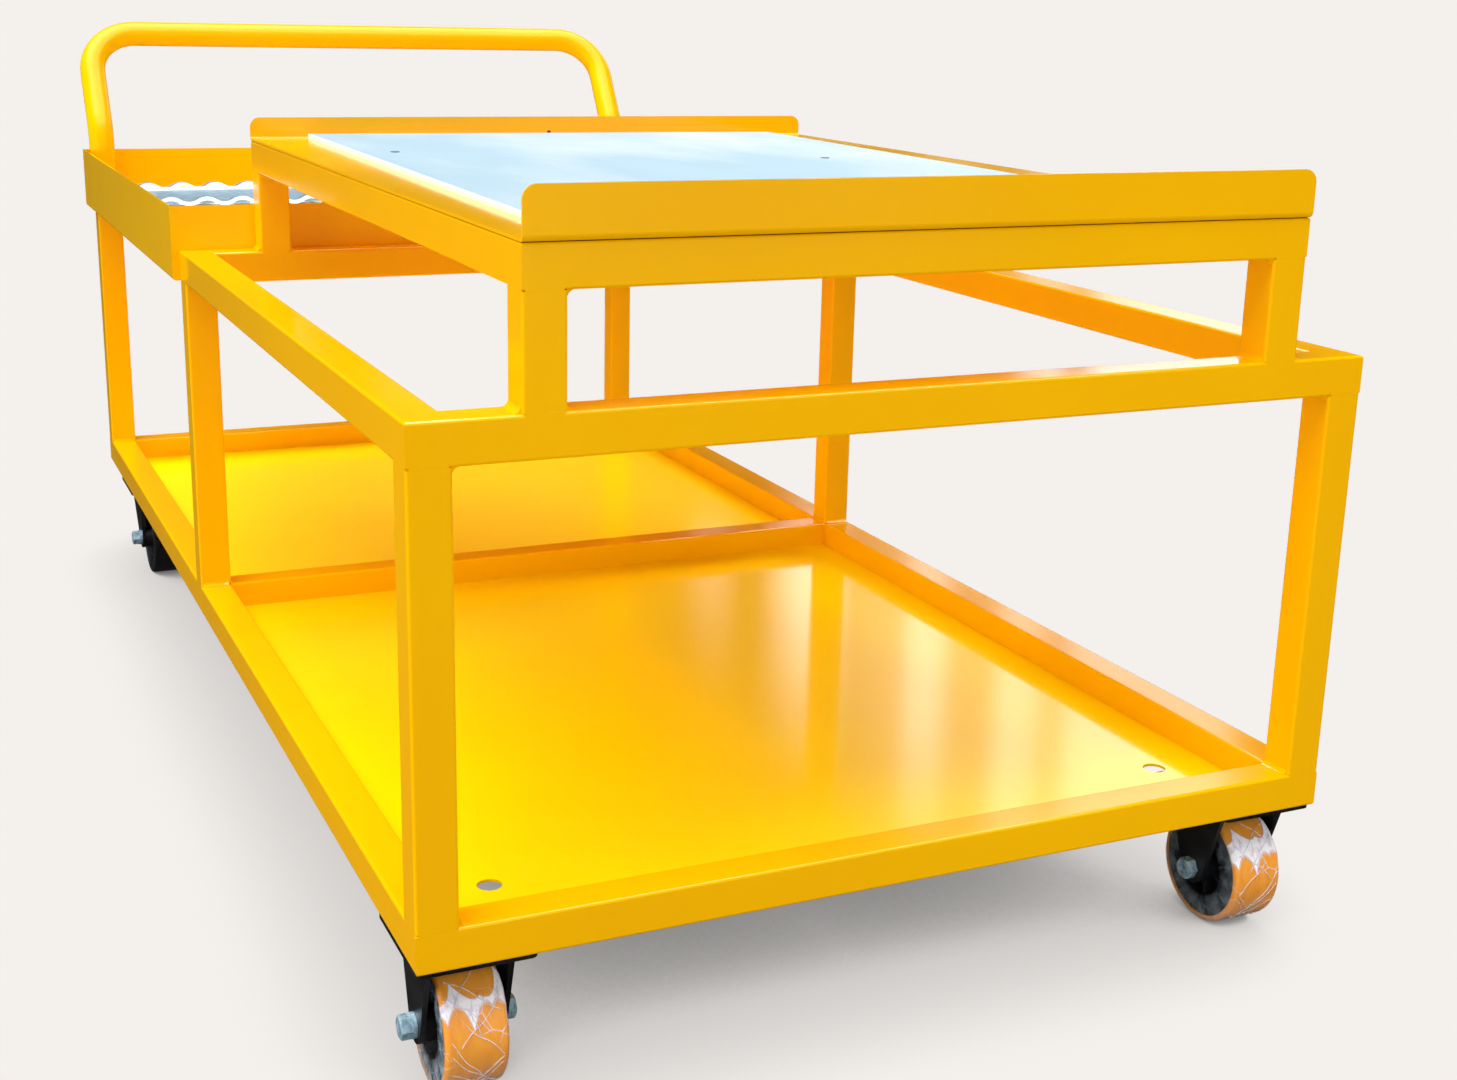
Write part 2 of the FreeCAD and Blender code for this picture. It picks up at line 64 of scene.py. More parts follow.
def noise(tree, vector, scale, detail=2.0, roughness=0.5, stretch=None):
    """Noise on the given coordinates, stretched along an axis where the finish has a direction."""
    texture = tree.nodes.new("ShaderNodeTexNoise")
    texture.inputs["Scale"].default_value = scale
    texture.inputs["Detail"].default_value = detail
    texture.inputs["Roughness"].default_value = roughness
    if stretch:
        mapping = tree.nodes.new("ShaderNodeMapping")
        mapping.inputs["Scale"].default_value = stretch
        tree.links.new(vector, mapping.inputs["Vector"])
        vector = mapping.outputs["Vector"]
    tree.links.new(vector, texture.inputs["Vector"])
    return texture.outputs["Fac"]


def ramp(tree, factor, stops):
    """Colours along a factor, given as (position, colour) pairs."""
    node = tree.nodes.new("ShaderNodeValToRGB")
    elements = node.color_ramp.elements
    while len(elements) < len(stops):
        elements.new(0.5)
    for element, (position, colour) in zip(elements, stops):
        element.position = position
        element.color = colour
    tree.links.new(factor, node.inputs["Fac"])
    return node.outputs["Color"]


def two_tone(tree, factor, first, second, start=0.3, end=0.7):
    """Two colours over the factor's middle range."""
    return ramp(tree, factor, [(start, first), (end, second)])


def spread(tree, factor, low, high, start=0.3, end=0.7):
    """The factor's middle range turned into values from low to high."""
    node = tree.nodes.new("ShaderNodeMapRange")
    node.inputs["From Min"].default_value = start
    node.inputs["From Max"].default_value = end
    node.inputs["To Min"].default_value = low
    node.inputs["To Max"].default_value = high
    tree.links.new(factor, node.inputs["Value"])
    return node.outputs["Result"]


def bump(tree, shader, height, strength, distance):
    """Fine relief on the shader from a height, in metres."""
    node = tree.nodes.new("ShaderNodeBump")
    node.inputs["Strength"].default_value = strength
    node.inputs["Distance"].default_value = distance
    tree.links.new(height, node.inputs["Height"])
    tree.links.new(node.outputs["Normal"], shader.inputs["Normal"])


def powder_coat(name, roughness=COAT_ROUGHNESS, deep=COAT_DEEP, bright=COAT_BRIGHT, sheen=COAT_SHEEN):
    """Gloss yellow powder coat: drifting tone, slightly uneven gloss and a faint orange peel."""
    material, tree, shader, place = new_material(name)
    tone = noise(tree, place, DRIFT_SCALE, detail=3.0)
    tree.links.new(two_tone(tree, tone, deep, bright), shader.inputs["Base Color"])
    gloss = noise(tree, place, GLOSS_SCALE)
    glossiest = roughness * (1 - GLOSS_DRIFT)
    dullest = roughness * (1 + GLOSS_DRIFT)
    tree.links.new(spread(tree, gloss, glossiest, dullest), shader.inputs["Roughness"])
    shader.inputs["Specular IOR Level"].default_value = sheen
    bump(tree, shader, noise(tree, place, PEEL_SCALE, detail=1.0), PEEL_STRENGTH, PEEL_DEPTH)
    return material


def dress(material, *names):
    """Gives the named CAD nodes this finish."""
    for name in names:
        nodes[name].data.materials.clear()
        nodes[name].data.materials.append(material)


frame_coat = powder_coat("yellow_frame_coat")
SIDES = ("front", "right", "rear", "left")
POST_ROWS = ("front", "middle", "rear")
ENDS = ("front", "rear")
HANDS = ("left", "right")
rails = ["%s_%s_rail" % (ring, side) for ring in ("base", "ring") for side in SIDES]
posts = ["%s_%s_post" % (row, side) for row in POST_ROWS for side in HANDS]
table_legs = ["table_%s_%s_leg" % (row, side) for row in ENDS for side in HANDS]
dress(frame_coat, "base_cross_member", *rails, *posts, *table_legs)

# Welds: where a post or a table leg meets a rail, a small concave fillet fills the inner corner and a
# flush run, ground flat, fills the groove between the square end and the rail's round edge.
# Everything is painted over with the frame.
FILLET_LENGTH = 0.034
FILLET_LEG = 0.0055
FILLET_NOSE = 0.9
FILLET_CUT = 0.93
FILLET_SEGMENTS = 6
FILLET_HOLLOW = 0.14
FILLET_RINGS = 10
FILLET_RIPPLE = 0.94
FILLET_SMOOTH = math.radians(40)
GROOVE = 0.003
GROOVE_EASE = 0.04
TURNS = {"front": 0.0, "right": math.pi / 2, "rear": math.pi, "left": -math.pi / 2}
OPPOSITE = {"left": "right", "right": "left", "front": "rear", "rear": "front"}


def select_where(piece, test):
    """Selects only the vertices that pass the test, ready for edit mode."""
    for element in (*piece.data.polygons, *piece.data.edges):
        element.select = False
    for vertex in piece.data.vertices:
        vertex.select = test(vertex.co)


def solid_at(name, middle, size):
    """A box of the given size at its place, active and alone in the selection."""
    bpy.ops.object.select_all(action="DESELECT")
    bpy.ops.mesh.primitive_cube_add(size=1.0, location=middle)
    piece = bpy.context.object
    piece.name = name
    piece.scale = size
    bpy.ops.object.transform_apply(location=True, rotation=True, scale=True)
    return piece


def corner_fillet():
    """A concave fillet along X in the corner between a wall behind it and a floor under it."""
    fillet = solid_at("corner_fillet", (0, -FILLET_LEG / 2, FILLET_LEG / 2),
                      (FILLET_LENGTH, FILLET_LEG, FILLET_LEG))
    outer = FILLET_LEG * FILLET_NOSE
    select_where(fillet, lambda point: point.y < -outer and point.z > outer)
    bpy.ops.object.mode_set(mode="EDIT")
    bpy.ops.mesh.bevel(offset=FILLET_LEG * FILLET_CUT, segments=FILLET_SEGMENTS, profile=FILLET_HOLLOW)
    for ring in range(1, FILLET_RINGS):
        along = (ring / FILLET_RINGS - 0.5) * FILLET_LENGTH
        bpy.ops.mesh.select_all(action="SELECT")
        bpy.ops.mesh.bisect(plane_co=(along, 0, 0), plane_no=(1, 0, 0))
        if ring % 2 == 0:
            bpy.ops.transform.resize(value=(1, FILLET_RIPPLE, FILLET_RIPPLE), center_override=(0, 0, 0))
    bpy.ops.object.mode_set(mode="OBJECT")
    bpy.ops.object.shade_smooth_by_angle(angle=FILLET_SMOOTH)
    return fillet


def flush_run():
    """A flush run along X that fills the groove under a wall's foot, its edges just eased."""
    run = solid_at("flush_run", (0, GROOVE / 2, -GROOVE / 2), (FILLET_LENGTH, GROOVE, GROOVE))
    bpy.ops.object.mode_set(mode="EDIT")
    bpy.ops.mesh.select_all(action="SELECT")
    bpy.ops.mesh.bevel(offset=GROOVE * GROOVE_EASE, segments=1)
    bpy.ops.object.mode_set(mode="OBJECT")
    return run


def copy_to(source, name, place):
    """A copy of a finished piece with its own mesh, moved there in its mesh."""
    piece = source.copy()
    piece.data = source.data.copy()
    piece.name = name
    piece.data.transform(place)
    bpy.context.scene.collection.objects.link(piece)
    return piece


def join_as(name, pieces):
    """Joins loose pieces into one object."""
    bpy.ops.object.select_all(action="DESELECT")
    for piece in pieces:
        piece.select_set(True)
    bpy.context.view_layer.objects.active = pieces[0]
    bpy.ops.object.join()
    pieces[0].name = name
    return pieces[0]


def seam(name, side, end):
    """The place of a seam on one side of an upright tube, at its foot or its head."""
    low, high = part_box(name)
    middle = (low + high) / 2
    out = {"front": (middle.x, low.y), "rear": (middle.x, high.y),
           "left": (low.x, middle.y), "right": (high.x, middle.y)}[side]
    level = low.z if end == "foot" else high.z
    flip = Matrix.Identity(4) if end == "foot" else Matrix.Rotation(math.pi, 4, "Y")
    return Matrix.Translation((*out, level)) @ Matrix.Rotation(TURNS[side], 4, "Z") @ flip


fillet_seams = []
flush_seams = []
for side in HANDS:
    for row, walls in (("front", ["rear"]), ("middle", ["front", "rear"]), ("rear", ["front"])):
        post = "%s_%s_post" % (row, side)
        for end in ("foot", "head"):
            fillet_seams += [(post, wall, end) for wall in walls + [OPPOSITE[side]]]
            flush_seams += [(post, wall, end) for wall in {side, OPPOSITE[walls[0]]} - set(walls)]
    for row in ENDS:
        leg = "table_%s_%s_leg" % (row, side)
        fillet_seams += [(leg, "left", "foot"), (leg, "right", "foot")]
        fillet_seams += [(leg, OPPOSITE[side], "head"), (leg, OPPOSITE[row], "head")]
        flush_seams += [(leg, row, "foot"), (leg, OPPOSITE[row], "foot")]
        flush_seams += [(leg, row, "head"), (leg, side, "head")]
fillet = corner_fillet()
run = flush_run()
welds = [copy_to(fillet, "weld", seam(*spot)) for spot in fillet_seams]
welds += [copy_to(run, "weld", seam(*spot)) for spot in sorted(flush_seams)]
bpy.data.objects.remove(fillet)
bpy.data.objects.remove(run)
frame_welds = join_as("frame_welds", welds)
frame_welds.data.materials.append(frame_coat)
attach(frame_welds, "frame")

# Decks: two flat steel sheets welded in between the base rails, level with their undersides.
# Laid flat to be sprayed, they came out glossier than the tubes and mirror the light behind them.
# Painted light: the decks' yellow is a lighter copy of the frame's, for the light that falls on them.
DECK_LIT_DEEP = (1.0, 0.65, 0.0, 1.0)
DECK_LIT_BRIGHT = (1.0, 0.71, 0.0, 1.0)
DECK_ROUGHNESS = 0.1
DECK_SHEEN = 0.5
lit_deck_coat = powder_coat("yellow_deck_coat", DECK_ROUGHNESS, DECK_LIT_DEEP, DECK_LIT_BRIGHT, DECK_SHEEN)
dress(lit_deck_coat, "front_deck", "rear_deck")

# Table pan: one folded sheet with an upturned lip at the front and the rear, its corners rounded,
# laid on the table rails. Under each bend and in other narrow gaps the coat carries painted shade.
PAINTED_SEAM_SHADE = (0.02, 0.008, 0.0, 1.0)
SEAM_REACH = 0.006
SEAM_SHADES = (0.22, 0.50)


def blend(tree, factor, first, second):
    """One colour fading into another, each a socket or a plain colour."""
    node = tree.nodes.new("ShaderNodeMix")
    node.data_type = "RGBA"
    tree.links.new(factor, node.inputs["Factor"])
    for letter, colour in (("A", first), ("B", second)):
        if isinstance(colour, tuple):
            node.inputs[letter].default_value = colour
        else:
            tree.links.new(colour, node.inputs[letter])
    return node.outputs["Result"]


def seam_shaded_coat(name):
    """The frame's coat with painted shade: darker in narrow gaps, by ambient occlusion."""
    material = powder_coat(name)
    tree = material.node_tree
    shader = tree.nodes["Principled BSDF"]
    coat = shader.inputs["Base Color"].links[0].from_socket
    # Painted shade: ambient occlusion fades the coat to near black in narrow gaps.
    hollow = tree.nodes.new("ShaderNodeAmbientOcclusion")
    hollow.inputs["Distance"].default_value = SEAM_REACH
    openness = spread(tree, hollow.outputs["AO"], 0.0, 1.0, *SEAM_SHADES)
    tree.links.new(blend(tree, openness, PAINTED_SEAM_SHADE, coat), shader.inputs["Base Color"])
    return material


table_coat = seam_shaded_coat("yellow_table_coat")
dress(table_coat, "table_pan", *["table_%s_rail" % side for side in SIDES])

# Table plate: a thick white board with a pale blue gloss face, laid in the pan against the rear lip
# and screwed down. Its sawn edges stay white; the face has pale streaks of painted reflection.
PLATE_FACE = (0.27, 0.38, 0.45, 1.0)
PLATE_PAINTED_REFLECTION = (0.50, 0.55, 0.58, 1.0)
PLATE_EDGE_WHITE = (0.97, 0.96, 1.0, 1.0)
PLATE_SHEEN = 0.08
PLATE_ROUGHNESS = (0.55, 0.75)
PLATE_TURN = (0.8, 0.95)
REFLECTION_STREAK_SCALE = 3.0
REFLECTION_STREAK_STRETCH = (1.0, 0.35, 1.0)
REFLECTION_STREAK_SPAN = (0.48, 0.72)
SMEAR_SCALE = 9.0
SMEAR_STRETCH = (1.0, 0.4, 1.0)
BOARD_GRAIN_SCALE = 60.0
BOARD_GRAIN_STRENGTH = 0.01
BOARD_GRAIN_DEPTH = 0.0005


def facing(tree):
    """The X, Y and Z parts of the direction that the surface faces."""
    geometry = tree.nodes.new("ShaderNodeNewGeometry")
    split = tree.nodes.new("ShaderNodeSeparateXYZ")
    tree.links.new(geometry.outputs["True Normal"], split.inputs["Vector"])
    return split.outputs


def board_face():
    """Pale blue gloss where the board faces up, with streaks of painted reflection, white on its edges.
    """
    material, tree, shader, place = new_material("blue_board_face")
    # Painted reflection: pale streaks across the blue face.
    reflection_streaks = noise(tree, place, REFLECTION_STREAK_SCALE, detail=5.0, stretch=REFLECTION_STREAK_STRETCH)
    face = two_tone(tree, reflection_streaks, PLATE_FACE, PLATE_PAINTED_REFLECTION, *REFLECTION_STREAK_SPAN)
    upward = spread(tree, facing(tree)["Z"], 0.0, 1.0, *PLATE_TURN)
    tree.links.new(blend(tree, upward, PLATE_EDGE_WHITE, face), shader.inputs["Base Color"])
    smears = noise(tree, place, SMEAR_SCALE, detail=4.0, stretch=SMEAR_STRETCH)
    tree.links.new(spread(tree, smears, *PLATE_ROUGHNESS), shader.inputs["Roughness"])
    shader.inputs["Specular IOR Level"].default_value = PLATE_SHEEN
    grain = noise(tree, place, BOARD_GRAIN_SCALE)
    bump(tree, shader, grain, BOARD_GRAIN_STRENGTH, BOARD_GRAIN_DEPTH)
    return material


dress(board_face(), "table_plate")

# Plate screws: dark countersunk socket screws sunk flush in the board, one near its left edge and one
# towards its right, and a third in the foot of the rear lip behind the board.
SCREW_RADIUS = 0.0055
SCREW_HEIGHT = 0.0012
SCREW_SIDES = 48
SCREW_RIM = 0.25
SCREW_SOCKET = 0.45
SCREW_SOCKET_DEPTH = 0.7
SCREW_SMOOTH = math.radians(35)
SCREW_TOP = 0.9
# Where the screws sit, to the right of and behind the frame's front left corner.
SCREW_SPOTS = {"left": (0.209, 0.797), "right": (0.706, 0.637)}
LIP_SCREW_RIGHT = 0.517
LIP_SCREW_DROP = 0.0005
LIP_SCREW_SHARE = 0.5
OXIDE_DARK = (0.02, 0.018, 0.016, 1.0)
OXIDE_WORN = (0.05, 0.045, 0.04, 1.0)
OXIDE_SCALE = 900.0
OXIDE_METAL = 0.8
OXIDE_ROUGHNESS = (0.3, 0.5)


def dark_oxide():
    """Blackened steel with a faint brown cast and a soft sheen."""
    material, tree, shader, place = new_material("dark_screw_steel")
    grain = noise(tree, place, OXIDE_SCALE)
    tree.links.new(two_tone(tree, grain, OXIDE_DARK, OXIDE_WORN), shader.inputs["Base Color"])
    shader.inputs["Metallic"].default_value = OXIDE_METAL
    tree.links.new(spread(tree, grain, *OXIDE_ROUGHNESS), shader.inputs["Roughness"])
    return material


def socket_screw(name, place):
    """A flat screw head with a chamfered rim and a sunk socket."""
    bpy.ops.object.select_all(action="DESELECT")
    bpy.ops.mesh.primitive_cylinder_add(vertices=SCREW_SIDES, radius=SCREW_RADIUS, depth=SCREW_HEIGHT)
    screw = bpy.context.object
    screw.name = name
    for face in screw.data.polygons:
        face.select = face.normal.z > SCREW_TOP
    bpy.ops.object.mode_set(mode="EDIT")
    bpy.ops.mesh.bevel(offset=SCREW_HEIGHT * SCREW_RIM, segments=2)
    bpy.ops.mesh.inset(thickness=SCREW_RADIUS * SCREW_SOCKET)
    sunk = (0, 0, -SCREW_HEIGHT * SCREW_SOCKET_DEPTH)
    bpy.ops.mesh.extrude_region_move(TRANSFORM_OT_translate={"value": sunk})
    bpy.ops.object.mode_set(mode="OBJECT")
    bpy.ops.object.shade_smooth_by_angle(angle=SCREW_SMOOTH)
    screw.data.transform(place)
    return screw


frame_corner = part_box("base_front_rail")[0]
plate_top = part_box("table_plate")[1].z
screw_places = {}
for side, (right, behind) in SCREW_SPOTS.items():
    spot = (frame_corner.x + right, frame_corner.y + behind, plate_top)
    screw_places[side] = Matrix.Translation(spot)
lip_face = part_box("ring_rear_rail")[1].y
lip_screw = Vector((frame_corner.x + LIP_SCREW_RIGHT, lip_face, plate_top - LIP_SCREW_DROP))
upright = Matrix.Rotation(math.pi / 2, 4, "X") @ Matrix.Scale(LIP_SCREW_SHARE, 4)
screw_places["lip"] = Matrix.Translation(lip_screw) @ upright
screw_steel = dark_oxide()
for side, place in screw_places.items():
    screw = socket_screw("plate_screw_" + side, place)
    screw.data.materials.append(screw_steel)
    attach(screw, "frame")

# Tool tray: an open box folded from steel sheet with welded corners, standing on the rear posts and
# against the ring, coated with the frame. Its yellow is painted a shade lighter as painted light.
TRAY_LIT_DEEP = (1.0, 0.53, 0.0, 1.0)
TRAY_LIT_BRIGHT = (1.0, 0.575, 0.0, 1.0)
TRAY_ROUGHNESS = 0.14
lit_tray_coat = powder_coat("yellow_tray_coat", TRAY_ROUGHNESS, TRAY_LIT_DEEP, TRAY_LIT_BRIGHT)
dress(lit_tray_coat, "tool_tray", "rack_front_bar", "rack_rear_bar")

# Wave rack: galvanised strips corrugated to hold round tools, laid on two bars across the tray with
# a flat grey sheet between them. The faces are a dull blue grey; the cut edges are bare steel whose
# bright white is a painted highlight.
ZINC_DULL = (0.065, 0.12, 0.165, 1.0)
ZINC_PALE = (0.115, 0.185, 0.235, 1.0)
ZINC_SPAN = (0.35, 0.85)
ZINC_METAL = 0.2
ZINC_ROUGHNESS = (0.3, 0.5)
SPANGLE_SCALE = 70.0
SPANGLE_SHARE = 0.35
SPANGLE_SPAN = (0.0, 0.6)
ZINC_CLOUD_SCALE = 6.0
CUT_EDGE_HIGHLIGHT = (0.86, 0.98, 1.0, 1.0)
EDGE_TURN = (0.7, 0.9)
BURR_RISE = 1.6


def number_of(tree, operation, first, second=0.0):
    """A math node on sockets or plain numbers."""
    node = tree.nodes.new("ShaderNodeMath")
    node.operation = operation
    for socket, value in zip(node.inputs, (first, second)):
        if isinstance(value, (int, float)):
            socket.default_value = value
        else:
            tree.links.new(value, socket)
    return node.outputs["Value"]


def burred_normal(tree, edge):
    """The surface's direction, turned upwards on a cut edge that is rounded over its burr."""
    geometry = tree.nodes.new("ShaderNodeNewGeometry")
    rise = tree.nodes.new("ShaderNodeCombineXYZ")
    tree.links.new(spread(tree, edge, 0.0, BURR_RISE), rise.inputs["Z"])
    turned = tree.nodes.new("ShaderNodeVectorMath")
    turned.operation = "ADD"
    tree.links.new(geometry.outputs["Normal"], turned.inputs[0])
    tree.links.new(rise.outputs["Vector"], turned.inputs[1])
    level = tree.nodes.new("ShaderNodeVectorMath")
    level.operation = "NORMALIZE"
    tree.links.new(turned.outputs["Vector"], level.inputs[0])
    return level.outputs["Vector"]


def galvanised():
    """Blue-grey zinc with a soft spangle, and a painted highlight on cut edges facing front or rear."""
    material, tree, shader, place = new_material("galvanised_sheet")
    spangle = tree.nodes.new("ShaderNodeTexVoronoi")
    spangle.inputs["Scale"].default_value = SPANGLE_SCALE
    tree.links.new(place, spangle.inputs["Vector"])
    flakes = number_of(tree, "MULTIPLY", spangle.outputs["Color"], SPANGLE_SHARE)
    tone = number_of(tree, "ADD", flakes, noise(tree, place, ZINC_CLOUD_SCALE, detail=4.0))
    zinc = two_tone(tree, tone, ZINC_DULL, ZINC_PALE, *ZINC_SPAN)
    # Cut edges facing the front or the rear: bare steel, whitened as a painted highlight.
    edge = spread(tree, number_of(tree, "ABSOLUTE", facing(tree)["Y"]), 0.0, 1.0, *EDGE_TURN)
    tree.links.new(blend(tree, edge, zinc, CUT_EDGE_HIGHLIGHT), shader.inputs["Base Color"])
    shader.inputs["Metallic"].default_value = ZINC_METAL
    roughness = spread(tree, spangle.outputs["Distance"], *ZINC_ROUGHNESS, *SPANGLE_SPAN)
    tree.links.new(roughness, shader.inputs["Roughness"])
    tree.links.new(burred_normal(tree, edge), shader.inputs["Normal"])
    return material


dress(galvanised(), "rack_front_wave", "rack_rear_wave", "rack_sheet")

# Push handle: one round steel tube, bent at its knees and corners and welded to the tray.
# Its yellow is painted a shade lighter than the frame's, as painted light on the round tube.
HANDLE_LIT_DEEP = (0.94, 0.54, 0.0, 1.0)
HANDLE_LIT_BRIGHT = (0.96, 0.59, 0.0, 1.0)
HANDLE_ROUGHNESS = 0.2
HANDLE_SHEEN = 0.12
lit_handle_coat = powder_coat("yellow_handle_coat", HANDLE_ROUGHNESS, HANDLE_LIT_DEEP, HANDLE_LIT_BRIGHT,
                          HANDLE_SHEEN)
dress(lit_handle_coat, "push_handle")

# Caster steel: top plates welded under the rails, bent forks and swivel heads, all pressed from
# thick sheet and dipped in satin black paint, which has dull rub marks.
BLACK_DEEP = (0.006, 0.006, 0.007, 1.0)
BLACK_WORN = (0.022, 0.023, 0.026, 1.0)
RUB_SCALE = 28.0
RUB_SPAN = (0.35, 0.75)
RUB_ROUGHNESS = (0.28, 0.48)
DIP_SCALE = 700.0
DIP_STRENGTH = 0.1
DIP_DEPTH = 0.0002


def black_dip():
    """Satin black paint with cloudy gloss and a fine texture."""
    material, tree, shader, place = new_material("black_caster_paint")
    rubs = noise(tree, place, RUB_SCALE, detail=5.0)
    paint = two_tone(tree, rubs, BLACK_DEEP, BLACK_WORN, *RUB_SPAN)
    tree.links.new(paint, shader.inputs["Base Color"])
    tree.links.new(spread(tree, rubs, *RUB_ROUGHNESS), shader.inputs["Roughness"])
    bump(tree, shader, noise(tree, place, DIP_SCALE), DIP_STRENGTH, DIP_DEPTH)
    return material


black_paint = black_dip()
CASTER_STEEL = ("front_%s_bracket", "rear_%s_swivel_plate", "rear_%s_fork")
dress(black_paint, *[kind % side for side in HANDS for kind in CASTER_STEEL])

# Axle bolts and nuts: turned steel with bright zinc plating and a cool blue passivation, each bolt
# put through both legs of its fork and the wheel's hub and held by the nut.
# The dark blue tone is the zinc's own; the pale one, mixed in along the turning marks, is painted
# highlight.
BLUE_ZINC = (0.17, 0.30, 0.40, 1.0)
BLUE_ZINC_HIGHLIGHT = (0.50, 0.68, 0.78, 1.0)
TURNING_SCALE = 90.0
TURNING_STRETCH = (2.0, 1.0, 1.0)
TURNING_STRENGTH = 0.02
TURNING_DEPTH = 0.0002
BOLT_METAL = 0.25
BOLT_ROUGHNESS = (0.22, 0.34)


def bright_zinc():
    """Blue passivated zinc with fine turning marks that mix in a painted highlight."""
    material, tree, shader, place = new_material("blue_zinc_plate")
    turned = noise(tree, place, TURNING_SCALE, detail=3.0, stretch=TURNING_STRETCH)
    tree.links.new(two_tone(tree, turned, BLUE_ZINC, BLUE_ZINC_HIGHLIGHT), shader.inputs["Base Color"])
    shader.inputs["Metallic"].default_value = BOLT_METAL
    tree.links.new(spread(tree, turned, *BOLT_ROUGHNESS), shader.inputs["Roughness"])
    bump(tree, shader, turned, TURNING_STRENGTH, TURNING_DEPTH)
    return material


CORNERS = [end + "_" + side for end in ENDS for side in HANDS]
dress(bright_zinc(), *[corner + kind for corner in CORNERS for kind in ("_bolt", "_nut")])

# Wheels: cast cores painted black, with a polyurethane tread poured on. The front treads are clear
# orange, the rear ones black.
TREAD_ORANGE = (0.93, 0.32, 0.008, 1.0)
TREAD_AMBER = (1.0, 0.40, 0.012, 1.0)
TREAD_BLACK = (0.008, 0.008, 0.009, 1.0)
TREAD_SOOT = (0.02, 0.02, 0.021, 1.0)
TREAD_ROUGHNESS = (0.25, 0.42)
TREAD_GLAZE = 0.2
MOULD_SCALE = 40.0
MOULD_STRETCH = (3.0, 1.0, 1.0)
MOULD_STRENGTH = 0.08
MOULD_DEPTH = 0.0005
CORE_SPAN = (0.3, 0.8)
CORE_ROUGHNESS = (0.35, 0.55)
CASTING_SCALE = 260.0
CASTING_STRENGTH = 0.25
CASTING_DEPTH = 0.0004


def poured_tread(name, deep, pale):
    """Poured polyurethane: waxy, slightly deep, with faint mould marks round the wheel."""
    material, tree, shader, place = new_material(name)
    marks = noise(tree, place, MOULD_SCALE, detail=4.0, stretch=MOULD_STRETCH)
    tree.links.new(two_tone(tree, marks, deep, pale), shader.inputs["Base Color"])
    tree.links.new(spread(tree, marks, *TREAD_ROUGHNESS), shader.inputs["Roughness"])
    shader.inputs["Coat Weight"].default_value = TREAD_GLAZE
    bump(tree, shader, marks, MOULD_STRENGTH, MOULD_DEPTH)
    return material


def cast_core():
    """Black painted casting with a grainy skin."""
    material, tree, shader, place = new_material("black_core_casting")
    grain = noise(tree, place, CASTING_SCALE, detail=4.0)
    paint = two_tone(tree, grain, BLACK_DEEP, BLACK_WORN, *CORE_SPAN)
    tree.links.new(paint, shader.inputs["Base Color"])
    tree.links.new(spread(tree, grain, *CORE_ROUGHNESS), shader.inputs["Roughness"])
    bump(tree, shader, grain, CASTING_STRENGTH, CASTING_DEPTH)
    return material


orange_tread = poured_tread("orange_tread", TREAD_ORANGE, TREAD_AMBER)
black_tread = poured_tread("black_tread", TREAD_BLACK, TREAD_SOOT)
dress(orange_tread, *["front_%s_tread" % side for side in HANDS])
dress(black_tread, *["rear_%s_tread" % side for side in HANDS])
dress(cast_core(), *[corner + "_core" for corner in CORNERS])

# Stretch film: clear film wound tightly round the front wheels for transport. It runs over the tread
# and round its shoulders on to the rim, creased where it was pulled. Where it bunches on the upper
# front tread its milky white is partly the film and partly a painted reflection of the light, and
# its silver sheen and glints on the rim are painted.
FILM_STEPS = 192
FILM_CUTS = 14
FILM_FLAT = 0.0255
FILM_GAP = 0.0003
FILM_EDGE_SLACK = 1e-5
# The way over a shoulder on to the rim: each step outwards and the share of the radius it keeps.
FILM_SHOULDER = [(0.0022, 0.992), (0.0020, 0.966), (0.0008, 0.945),
                 (-0.0002, 0.86), (-0.0006, 0.83), (-0.0004, 0.84)]
FILM_WRINKLE = 0.0006
WRINKLE_SIZE = 0.011
FINE_WRINKLE_SIZE = 0.004
FINE_WRINKLE_SHARE = 0.5
FLOOR_CLEAR = 0.0002
# Milky white and lilac of the bunch: partly the film, partly a painted reflection of the light.
FILM_REFLECTION_WHITE = (1.0, 0.98, 1.0, 1.0)
FILM_REFLECTION_LILAC = (0.90, 0.85, 0.98, 1.0)
# Painted sheen of the film on the rim, from a blue steel tone to silver.
FILM_STEEL = (0.30, 0.40, 0.48, 1.0)
FILM_SILVER_SHEEN = (0.70, 0.80, 0.88, 1.0)
FILM_ROUGHNESS = (0.05, 0.2)
FILM_RELIEF = 0.15
FILM_RELIEF_DEPTH = 0.0005
# The bunch lies high on the front of the tread, where the painted reflection falls.
BUNCH_ANGLE = 0.71
# The bunch's upper and then its lower edge: where it lies and how far its points reach, in radians.
BUNCH_EDGES = {"left": (0.04, 0.6, -0.11, -0.75), "right": (0.10, 0.55, -0.24, -0.7)}
UPPER_POINTS = 46.0
LOWER_POINTS = 52.0
UPPER_SLANT = 0.016
UPPER_FADE = 0.04
LOWER_FADE = 0.10
MILK_SCALE = 120.0
MILK_STRETCH = (1.6, 0.6, 0.6)
MILK_COVER = (0.70, 1.0)
MILK_SPAN = (0.34, 0.50)
LILAC_SPAN = (0.36, 0.55)
HAZE_COVER = (0.30, 0.03)
HAZE_SPAN = (-1.1, -0.2)
CREASE_SCALE = 46.0
CREASE_WIDTH = 0.03
CREASE_COVER = 0.8
CREASED_SCALE = 22.0
CREASED_SPAN = (0.42, 0.62)
FOIL = {"left": 0.9, "right": 0.4}
FOIL_AT_HUB = 0.3
FOIL_HUB = (0.55, 0.74)
FOIL_RIM = (0.90, 0.95)
FOIL_RAYS = 14.0
FOIL_SCALE = 3.0
FOIL_COVER = (0.22, 0.72)
FOIL_SPAN = (0.36, 0.64)
GLINT_SCALE = 4.5
GLINT_WIDTH = 0.05
GLINT_COVER = 0.85
SILVER_SPAN = (0.3, 0.9)


